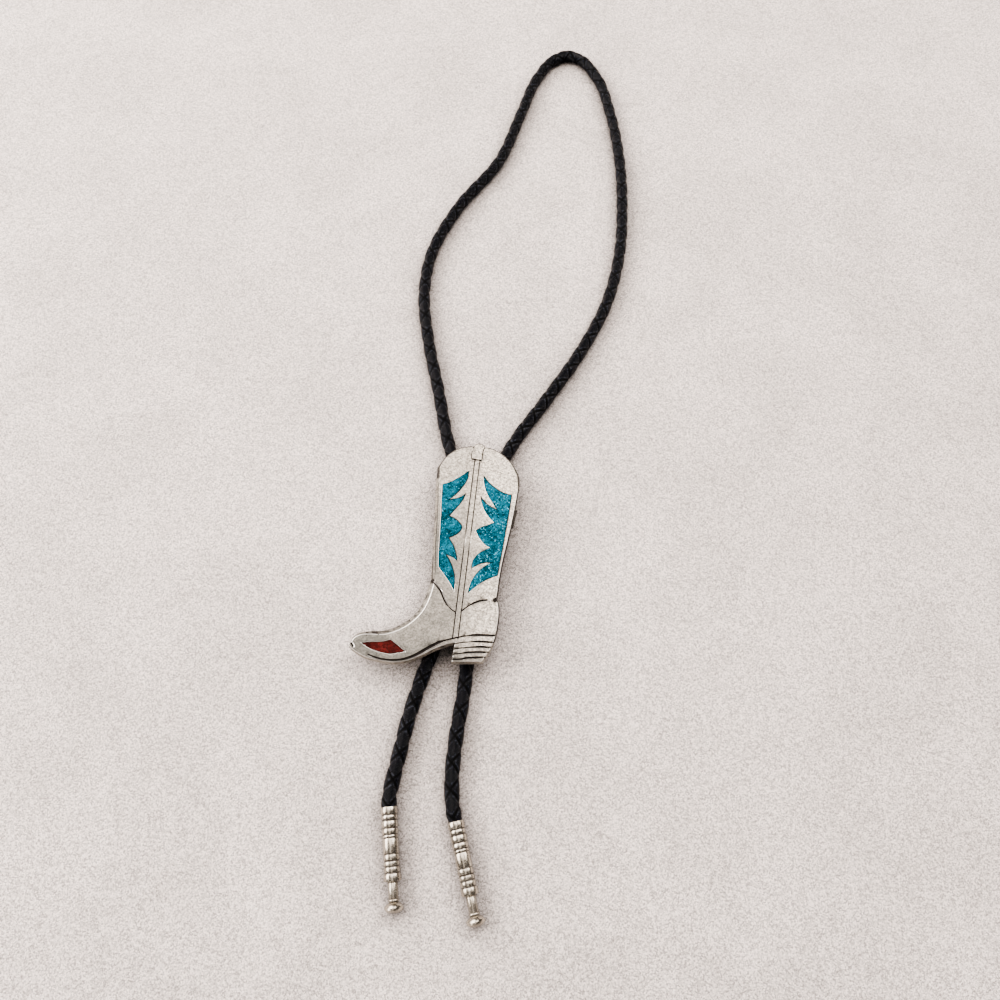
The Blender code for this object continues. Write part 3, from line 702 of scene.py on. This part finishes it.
def cord_centreline():
    """Ring centres a whole number of cells apart, so that the braid fits the rings."""
    fine = smooth_route()
    along = np.concatenate([[0.0], np.cumsum(np.linalg.norm(np.diff(fine, axis=0), axis=1))])
    count = round(along[-1] / (CROSSING_PITCH / CELLS))
    wanted = np.linspace(0.0, along[-1], count + 1)
    line = np.column_stack([np.interp(wanted, along, fine[:, axis]) for axis in range(3)])
    return line, wanted


def braid_tile(ring, side):
    """Which lace shows at a place on the cord, and how far along and across it the place lies.

    Two laces wind each way and pass over and under each other in turn, so a lozenge of one lace
    shows on each quarter of the cord. Both distances run from -1 to 1 over a lozenge. Swap is true
    where the lace winds the other way.
    """
    along = (ring + side + HALF_CELLS) % CELLS - HALF_CELLS
    across = (ring - side + HALF_CELLS) % CELLS - HALF_CELLS
    quarter = np.round((side - (along - across) / 2) / HALF_CELLS)
    swap = quarter % 2 == 1
    return np.where(swap, across, along) / HALF_CELLS, np.where(swap, along, across) / HALF_CELLS, swap


def lace_relief(along, across):
    """Height of a lace from 0 in the seams to 1: it dives at its ends and has steep sides."""
    dive = np.clip((np.abs(along) - DIVE_START) / (1 - DIVE_START), 0.0, 1.0)
    dive = dive * dive * (3 - 2 * dive)
    return 1 - np.maximum(dive, np.abs(across) ** LACE_EDGE_POWER)


def plain_tube(line):
    """A round tube with a ring of SIDES corners at each point of the line."""
    curve = bpy.data.curves.new("cord", "CURVE")
    curve.dimensions = "3D"
    curve.bevel_depth = CORD_DIAMETER / 2
    curve.bevel_resolution = (SIDES - 4) // 2
    curve.use_fill_caps = True
    spline = curve.splines.new("POLY")
    spline.points.add(len(line) - 1)
    spline.points.foreach_set("co", np.column_stack([line, np.ones(len(line))]).ravel())
    drawn = bpy.data.objects.new("cord", curve)
    bpy.context.scene.collection.objects.link(drawn)
    graph = bpy.context.evaluated_depsgraph_get()
    mesh = bpy.data.meshes.new_from_object(drawn.evaluated_get(graph))
    bpy.data.objects.remove(drawn)
    bpy.data.curves.remove(curve)
    return mesh


def braid_rings(mesh, line, wanted):
    """Presses the lozenges of the braid into the tube, and narrows it inside the tips' mouths."""
    corners = np.zeros(len(mesh.vertices) * 3, np.float32)
    mesh.vertices.foreach_get("co", corners)
    corners = corners.reshape(-1, 3).astype(float)
    rings = len(line)
    tube = corners[: rings * SIDES].reshape(rings, SIDES, 3)
    ring, side = np.meshgrid(np.arange(rings), np.arange(SIDES), indexing="ij")
    along, across = braid_tile(ring, side)[:2]
    relief = lace_relief(along, across)
    spokes = tube - line[:, None]
    spokes /= np.linalg.norm(spokes, axis=2)[..., None]
    inside = np.minimum(wanted, wanted[-1] - wanted)
    full = np.clip((inside - MOUTH_DEPTH) / MOUTH_TAPER, 0.0, 1.0)
    share = MOUTH_SHARE + (1 - MOUTH_SHARE) * full * full * (3 - 2 * full)
    radius = CORD_DIAMETER / 2 + BRAID_SWELL - GROOVE_DEPTH * (1 - relief) - LACE_CROWN * across**2
    corners[: rings * SIDES] = (
        line[:, None] + spokes * (radius * share[:, None])[..., None]
    ).reshape(-1, 3)
    mesh.vertices.foreach_set("co", corners.astype(np.float32).ravel())
    shown = mesh.attributes.new("relief", "FLOAT", "POINT")
    values = np.zeros(len(corners), np.float32)
    values[: rings * SIDES] = relief.ravel()
    shown.data.foreach_set("value", values)


def split_along_seams(mesh):
    """Splits each cell that a seam crosses along the seam, so that seams run straight."""
    bm = bmesh.new()
    bm.from_mesh(mesh)
    bm.verts.ensure_lookup_table()
    for face in list(bm.faces):
        if len(face.verts) != 4:
            continue
        places = [divmod(vert.index, SIDES) for vert in face.verts]
        seams = [
            (ring + side) % CELLS == HALF_CELLS or (ring - side) % CELLS == HALF_CELLS
            for ring, side in places
        ]
        for first in (0, 1):
            if seams[first] and seams[first + 2] and not seams[1 - first]:
                bmesh.utils.face_split(face, face.verts[first], face.verts[first + 2])
                break
    bm.to_mesh(mesh)
    bm.free()


def lace_coordinates(mesh, rings):
    """A UV map with how far across and along its lace each corner lies."""
    loops = np.zeros(len(mesh.loops), np.int32)
    mesh.loops.foreach_get("vertex_index", loops)
    totals = np.zeros(len(mesh.polygons), np.int32)
    mesh.polygons.foreach_get("loop_total", totals)
    owner = np.repeat(np.arange(len(totals)), totals)
    ring, side = np.divmod(loops, SIDES)
    highest = np.zeros(len(totals), np.int64)
    np.maximum.at(highest, owner, side)
    side = np.where((highest[owner] == SIDES - 1) & (side == 0), SIDES, side)
    middle_ring = np.bincount(owner, ring) / totals
    middle_side = np.bincount(owner, side) / totals
    along, across, swap = braid_tile(middle_ring, middle_side)
    shift_first = (ring + side - (middle_ring + middle_side)[owner]) / HALF_CELLS
    shift_second = (ring - side - (middle_ring - middle_side)[owner]) / HALF_CELLS
    u = across[owner] + np.where(swap[owner], shift_first, shift_second)
    v = along[owner] + np.where(swap[owner], shift_second, shift_first)
    inside = loops < rings * SIDES
    places = np.column_stack([np.where(inside, u, 0.0), np.where(inside, v, 0.0)])
    layer = mesh.uv_layers.new(name="lace")
    layer.data.foreach_set("uv", places.astype(np.float32).ravel())


def build_cord():
    line, wanted = cord_centreline()
    mesh = plain_tube(line)
    mesh.materials.clear()
    mesh.materials.append(braided_leather())
    braid_rings(mesh, line, wanted)
    split_along_seams(mesh)
    lace_coordinates(mesh, len(line))
    mesh.shade_smooth()
    cord = bpy.data.objects.new("braided_cord", mesh)
    bpy.context.scene.collection.objects.link(cord)
    finish_piece(cord, "cord")
    return cord, line, wanted[-1]


def tip_profile():
    """Radius and height of a tip, from its socket's floor over the rim and down to the ball."""
    groove = TIP_RADIUS * TIP_GROOVE_SHARE
    profile = [
        (0.0, -SOCKET_LENGTH),
        (SOCKET_RADIUS, -SOCKET_LENGTH),
        (SOCKET_RADIUS, -WIDENING_START * SOCKET_LENGTH),
        (MOUTH_RADIUS, -WIDENING_END * SOCKET_LENGTH),
        (MOUTH_RADIUS, 0.0),
    ]
    for start, end, share, form in TIP_BANDS:
        top, foot = -start * TIP_LENGTH, -end * TIP_LENGTH
        radius = TIP_RADIUS * share
        sunk = min(groove, radius * BAND_FOOT_SHARE)
        low = radius - BAND_EDGE if start == 0.0 else sunk
        if form == BEAD:
            for step in range(BEAD_STEPS + 1):
                turn = math.pi * step / BEAD_STEPS
                bulge = low + (radius - low) * math.sin(turn) ** BEAD_FULLNESS
                profile.append((bulge, top + (foot - top) * (1 - math.cos(turn)) / 2))
        else:
            rounding = BAND_EDGE * BAND_ROUNDING
            profile += [
                (low, top),
                (radius - rounding, top - rounding),
                (radius, top - BAND_EDGE),
                (radius, foot + BAND_EDGE),
                (radius - rounding, foot + rounding),
                (sunk, foot),
            ]
    half = (1 - BALL_START) * TIP_LENGTH / 2
    centre = -TIP_LENGTH + half
    neck = TIP_RADIUS * NECK_SHARE
    profile.append((neck, centre + half))
    for step in range(1, BALL_STEPS):
        turn = BALL_TOP_ANGLE - BALL_SWEEP * step / BALL_STEPS
        profile.append((BALL_RADIUS * math.cos(turn), centre + half * math.sin(turn)))
    profile.append((0.0, -TIP_LENGTH))
    return profile


def build_tip(name, node, rim, inner, nickel):
    """A turned tip lying on its ball end: its rim and its axis follow two points of the route."""
    bm = bmesh.new()
    verts = [bm.verts.new((radius, 0.0, height)) for radius, height in tip_profile()]
    edges = [bm.edges.new(pair) for pair in zip(verts, verts[1:])]
    bmesh.ops.spin(
        bm,
        geom=verts + edges,
        cent=(0.0, 0.0, 0.0),
        axis=(0.0, 0.0, 1.0),
        angle=2 * math.pi,
        steps=TIP_SEGMENTS,
        use_merge=True,
    )
    bmesh.ops.remove_doubles(bm, verts=bm.verts, dist=MERGE_DISTANCE)
    bmesh.ops.recalc_face_normals(bm, faces=bm.faces)
    stain_and_shade = []
    groove = TIP_RADIUS * TIP_GROOVE_SHARE
    for vert in bm.verts:
        radius = math.hypot(vert.co.x, vert.co.y)
        depth = -vert.co.z / TIP_LENGTH
        banded = depth < BANDS_END and vert.co.z < -BAND_EDGE
        grooved = float(banded and radius < groove * GROOVE_TOLERANCE)
        # Painted shade on the tip's underside, and darker towards the ball's end
        underside = UNDERSIDE_PAINTED_SHADE * smooth_step(vert.co.y / TIP_RADIUS, -UNDERSIDE_START, 0.0)
        stain_and_shade.append(max(grooved, underside, END_DARKENING * smooth_step(depth, END_START, 1.0)))
        if depth > BALL_START:
            turn = math.atan2(vert.co.y, vert.co.x)
            lump = math.sin(HAMMER_LOBES * turn + HAMMER_OFFSET) * math.sin(depth * HAMMER_WAVES)
            vert.co.xy *= 1 + HAMMER_DEPTH / BALL_RADIUS * lump
    turn = math.atan2(inner[0] - rim[0], rim[1] - inner[1])
    seat = (
        Matrix.Translation((rim[0], rim[1], BALL_RADIUS))
        @ Matrix.Rotation(turn, 4, "Z")
        @ Matrix.Rotation(math.radians(-90), 4, "X")
    )
    bmesh.ops.transform(bm, matrix=seat, verts=bm.verts)
    tip = new_piece(name, bm, nickel)
    shown = tip.data.attributes.new("stain_and_shade", "FLOAT", "POINT")
    shown.data.foreach_set("value", np.array(stain_and_shade, np.float32))
    shade(tip)
    finish_piece(tip, node)
    return tip


def merged_copy(node):
    """A CAD node's mesh with its corners merged and its flat faces joined."""
    bm = bmesh.new()
    bm.from_mesh(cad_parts[node].data)
    bmesh.ops.remove_doubles(bm, verts=bm.verts, dist=MERGE_DISTANCE)
    bmesh.ops.dissolve_limit(bm, angle_limit=FLAT_ANGLE, verts=bm.verts, edges=bm.edges)
    return bm


def outer_edges(bm, low=-1.0):
    """The sharp edges that stick out, above the given height."""
    return [
        edge
        for edge in bm.edges
        if len(edge.link_faces) == 2
        and edge.calc_face_angle_signed() > SHARP_ANGLE
        and min(vert.co.z for vert in edge.verts) > low
    ]


def round_edges(bm, edges, width, segments=2):
    return bmesh.ops.bevel(
        bm,
        geom=edges,
        offset=width,
        segments=segments,
        profile=0.5,
        affect="EDGES",
        clamp_overlap=False,
        material=-1,
    )["faces"]


def cut_in_squares(bm):
    """Cuts the mesh along a square grid, so that its flat faces can take the boot's crown."""
    for axis in (Vector((1.0, 0.0, 0.0)), Vector((0.0, 1.0, 0.0))):
        reach = [vert.co.dot(axis) for vert in bm.verts]
        for step in range(math.ceil(min(reach) / CUT_SPACING), math.ceil(max(reach) / CUT_SPACING)):
            bmesh.ops.bisect_plane(
                bm,
                geom=bm.verts[:] + bm.edges[:] + bm.faces[:],
                dist=MERGE_DISTANCE / 2,
                plane_co=axis * (step * CUT_SPACING),
                plane_no=axis,
            )


def boot_place(point):
    """A place on the boot: how far it lies from the toe side and how far up from the heel."""
    cos, sin = math.cos(BOOT_LEAN), math.sin(BOOT_LEAN)
    x, y = point.x - BOOT_CORNER[0], point.y - BOOT_CORNER[1]
    return cos * x - sin * y, sin * x + cos * y


def crown(bm):
    """Lowers the face away from the piping, more towards the toe and the heel side."""
    back = FACE_Z - PLATE_THICKNESS
    for vert in bm.verts:
        across = boot_place(vert.co)[0]
        heel_side = max(across - PIPING_X, 0.0) / (BOOT_WIDTH - PIPING_X)
        toe_side = max(PIPING_X - across, 0.0) / PIPING_X
        drop = HEEL_SIDE_DROP * heel_side**2 + TOE_DROP * toe_side**TOE_DROP_POWER
        share = min(max((vert.co.z - back) / PLATE_THICKNESS, 0.0), 1.0)
        vert.co.z -= drop * share


def still_there(parts):
    """The edges or faces that earlier rounding has left in place."""
    return [part for part in parts if part.is_valid]


def middle_of(edge):
    return (edge.verts[0].co + edge.verts[1].co) / 2


def along_arch(edge):
    """Whether an edge lies on the outline of the arch, and not on a cell's rim."""
    floor = FACE_Z - CELL_DEPTH
    lowest = [min(vert.co.z for vert in face.verts) for face in edge.link_faces]
    beside_cell = any(abs(low - floor) < CELL_SPREAD for low in lowest)
    return not beside_cell and boot_place(middle_of(edge))[1] > ARCH_START * BOOT_HEIGHT


def beside_shaft(edge, slope):
    """Whether an edge of the sloped shoulder runs along the shaft on its toe side."""
    sides = [face for face in edge.link_faces if face[slope]]
    toe_side = any(face.normal.x < TOWARDS_TOE for face in sides)
    return toe_side and boot_place(middle_of(edge))[1] > VAMP_TOP * BOOT_HEIGHT


def beside_piping(edge):
    return abs(boot_place(middle_of(edge))[0] - PIPING_X) < PIPING_REACH


def smooth_step(value, low, high):
    share = min(max((value - low) / (high - low), 0.0), 1.0)
    return share * share * (3 - 2 * share)


def painted_light_of(point):
    """How much light is painted on the metal: least on the toe, vamp and heel and along the shaft's toe
    side, more up the shaft, and most at the heel side."""
    across, up = boot_place(point)
    painted_light = VAMP_PAINTED_LIGHT + TOP_PAINTED_LIGHT * smooth_step(up, TOP_PAINTED_LIGHT_START * BOOT_HEIGHT, BOOT_HEIGHT)
    painted_light += COUNTER_PAINTED_LIGHT * smooth_step(across, PIPING_X - COUNTER_REACH, BOOT_WIDTH)
    painted_light += TOE_PAINTED_LIGHT * smooth_step(-across, -PIPING_X / 2, 0.0)
    if up > VAMP_TOP * BOOT_HEIGHT:
        beside = smooth_step(-across, -SHAFT_EDGE - SHAFT_SHADE_WIDTH, -SHAFT_EDGE)
        painted_light -= SHAFT_PAINTED_SHADE * beside * smooth_step(-up, -ARCH_START * BOOT_HEIGHT, -WORN_HEIGHT)
    return painted_light * smooth_step(up, 0.0, HEEL_TOP) if up < HEEL_TOP else painted_light


def shoulder_painted_light(normal, point):
    """The shoulder's painted light and shade by the way it faces: light beside the shaft and under the
    heel, dimmer along the vamp and the toe, and painted dark elsewhere."""
    up = boot_place(point)[1]
    if normal.y < TOWARDS_SOLE and up < HEEL_TOP + SHOULDER_DEPTH:
        return SOLE_EDGE_PAINTED_LIGHT
    if normal.x > 0.0 or up > ARCH_START * BOOT_HEIGHT:
        return HEEL_SIDE_PAINTED_LIGHT
    return SHAFT_SHOULDER_PAINTED_LIGHT if up > VAMP_TOP * BOOT_HEIGHT else VAMP_SHOULDER_PAINTED_LIGHT


def catches_light(face):
    """Whether the rounded edge of a groove or of a raised piece gets a painted highlight, and not painted
    shade.
    """
    middle = face.calc_center_median()
    raised = middle.z > FACE_Z and boot_place(middle)[1] < TAB_START
    return raised or (middle.z < FACE_Z and face.normal.y > face.normal.x)


def mark_casting(bm):
    """Marks the walls and the slopes, with the painted light and shade of each slope, while the edges are
    still sharp.
    """
    bm.faces.layers.float.new("wear_and_highlight")
    shade_and_patina = bm.faces.layers.float.new("shade_and_patina")
    slope = bm.faces.layers.float.new("slope")
    tone = bm.faces.layers.float.new("tone")
    for face in bm.faces:
        middle = face.calc_center_median()
        low = middle.z <= FACE_Z - SHOULDER_DEPTH
        face[shade_and_patina] = float(face.normal.z < STEEP and not low)
        face[slope] = float(face.normal.z < LEVEL and low)
        # Painted light and shade on the shoulder by the way it faces, and painted shade on the slopes
        # facing the heel side and along the arch
        face[tone] = shoulder_painted_light(face.normal, middle)
        if face[slope] and face[tone] == HEEL_SIDE_PAINTED_LIGHT:
            face[shade_and_patina] = EDGE_PAINTED_SHADE


def mark_rounded(bm, faces, wear_and_highlight, shade_and_patina):
    """Gives rounded edges their rubbed pallor and painted highlight, and their tarnish and painted shade.
    They no longer count as slopes.
    """
    layers = bm.faces.layers.float
    for face in still_there(faces):
        face[layers["wear_and_highlight"]] = wear_and_highlight
        face[layers["shade_and_patina"]] = shade_and_patina
        face[layers["slope"]] = 0.0


def round_casting(bm):
    """Rounds the tab's foot, the arch and the shaft's rim, the other cast edges, then the grooves."""
    shade_and_patina = bm.faces.layers.float["shade_and_patina"]
    slope = bm.faces.layers.float["slope"]
    foot = [
        edge
        for edge in bm.edges
        if len(edge.link_faces) == 2
        and edge.calc_face_angle_signed() < -SHARP_ANGLE
        and all(abs(vert.co.z - FACE_Z) < FACE_TOLERANCE for vert in edge.verts)
    ]
    # The tab's foot is darkened: tarnish and painted shade
    mark_rounded(bm, round_edges(bm, foot, TAB_GUTTER, segments=1), wear_and_highlight=0.0, shade_and_patina=1.0)
    edges = outer_edges(bm, FACE_Z - PLATE_THICKNESS / 2)
    fine = [edge for edge in edges if any(face[shade_and_patina] == 1.0 for face in edge.link_faces)]
    cast = [edge for edge in edges if edge not in fine]
    arch = [edge for edge in cast if along_arch(edge)]
    shaft = [edge for edge in cast if edge not in arch and beside_shaft(edge, slope)]
    # Painted shade along the arch and the shaft's rim
    stained_and_shaded = round_edges(bm, arch, ARCH_EDGE)
    stained_and_shaded += round_edges(bm, still_there(shaft), SHAFT_RIM)
    mark_rounded(bm, stained_and_shaded, wear_and_highlight=0.0, shade_and_patina=EDGE_PAINTED_SHADE)
    # Other cast edges are painted pale and highlit
    mark_rounded(bm, round_edges(bm, still_there(cast), CAST_EDGE), wear_and_highlight=1.0, shade_and_patina=0.0)
    narrow = [edge for edge in still_there(fine) if beside_piping(edge)]
    rims = round_edges(bm, narrow, PIPING_EDGE, segments=1)
    rims += round_edges(bm, still_there(fine), GROOVE_EDGE, segments=1)
    # Groove edges facing the light get a painted highlight, the others painted shade
    for face in still_there(rims):
        lit = catches_light(face)
        mark_rounded(bm, [face], wear_and_highlight=float(lit), shade_and_patina=float(not lit))


def stain_casting(bm):
    """Stains the floors of grooves and cells, sets the painted light and shade and fills the rubbed-down
    stretch of groove.
    """
    stain_and_shade = bm.verts.layers.float.new("stain_and_shade")
    painted_light = bm.verts.layers.float.new("painted_light")
    for vert in bm.verts:
        depth = FACE_Z - vert.co.z
        up = boot_place(vert.co)[1]
        level = any(face.normal.z > LEVEL for face in vert.link_faces)
        in_groove = level and abs(depth - GROOVE_FLOOR) < GROOVE_SPREAD
        in_cell = abs(depth - CELL_DEPTH) < CELL_SPREAD
        fresh = smooth_step(abs(up - WORN_HEIGHT), WORN_REACH / 3, WORN_REACH) if in_groove else 1.0
        vert[stain_and_shade] = float(in_groove or in_cell) * fresh
        # Painted light and shade by place on the boot
        vert[painted_light] = painted_light_of(vert.co)
        if in_groove:
            vert.co.z += (1 - fresh) * GROOVE_FLOOR * WORN_SHARE


def build_boot():
    """The cast boot, with pale highlit edges, painted light and shade over it, and dark tarnish and
    painted shade left in its grooves and cells.
    """
    bm = merged_copy("boot_slide")
    mark_casting(bm)
    round_casting(bm)
    cut_in_squares(bm)
    stain_casting(bm)
    crown(bm)
    boot = new_piece("boot_casting", bm, cast_pewter())
    shade(boot)
    finish_piece(boot, "boot_slide")


def build_inlay(name, node, stone):
    """A stone inlay that nearly fills its cell, with a dark rim and a slightly softened top edge."""
    bm = merged_copy(node)
    moves = {}
    for vert in bm.verts:
        sides = [face.normal for face in vert.link_faces if abs(face.normal.z) < STEEP]
        first, last = sides[0], sides[-1]
        reach = max(1 + first.dot(last), MITRE_LIMIT)
        moves[vert] = (first + last) / reach * STONE_GROWTH
    for vert, move in moves.items():
        vert.co += move
    rim = bm.verts.layers.float.new("rim")
    for vert in bm.verts:
        vert[rim] = 1.0
    top = [face for face in bm.faces if face.normal.z > STEEP]
    bmesh.ops.inset_region(bm, faces=top, thickness=STONE_RIM, use_even_offset=True)
    for vert in {vert for face in top for vert in face.verts}:
        vert[rim] = 0.0
    round_edges(bm, outer_edges(bm, FACE_Z - STONE_EDGE), STONE_EDGE, segments=1)
    cut_in_squares(bm)
    crown(bm)
    inlay = new_piece(name, bm, stone)
    shade(inlay)
    finish_piece(inlay, node)


def build_clip():
    """The plain clip behind the boot, trimmed where its side shows past the shaft."""
    bm = merged_copy("cord_clip")
    for vert in bm.verts:
        vert.co.x = min(vert.co.x, CLIP_SIDE_X + CLIP_SIDE_LEAN * (vert.co.y - CLIP_SIDE_Y))
    round_edges(bm, outer_edges(bm), CLIP_EDGE)
    clip = new_piece("spring_clip", bm, plated_steel())
    shade(clip)
    finish_piece(clip, "cord_clip")


def build_stones():
    """The two turquoise panels on the shaft and the coral one on the toe."""
    for side, flecks_and_glints_from in (("left", 0.54), ("right", 0.48)):
        turquoise = crushed_stone(
            f"crushed_turquoise_{side}",
            shades=(
                (0.000, 0.030, 0.038),
                (0.000, 0.062, 0.095),
                (0.000, 0.100, 0.165),
                (0.000, 0.145, 0.24),
            ),
            vein=(0.000, 0.020, 0.024),
            fleck_and_glint=(0.11, 0.66, 0.98),
            flecks_and_glints_from=flecks_and_glints_from,
            gloss=(0.0, 0.8, 1.0),
        )
        build_inlay(f"turquoise_stone_{side}", f"turquoise_inlay_{side}", turquoise)
    coral = crushed_stone(
        "crushed_coral",
        shades=(
            (0.011, 0.0013, 0.0013),
            (0.028, 0.0025, 0.0026),
            (0.054, 0.0042, 0.0041),
            (0.075, 0.007, 0.0068),
        ),
        vein=(0.012, 0.0045, 0.0030),
        fleck_and_glint=(0.15, 0.035, 0.032),
        flecks_and_glints_from=0.52,
        gloss=(1.0, 0.3, 0.25),
    )
    build_inlay("coral_stone", "coral_inlay", coral)


def build_tie():
    cord, line, length = build_cord()
    nickel = turned_nickel()
    tips = [
        build_tip("turned_tip_left", "tip_left", CORD_ROUTE[1], CORD_ROUTE[0], nickel),
        build_tip("turned_tip_right", "tip_right", CORD_ROUTE[-2], CORD_ROUTE[-1], nickel),
    ]
    build_boot()
    build_clip()
    build_stones()


build_camera()
build_light()
build_tie()
build_table()
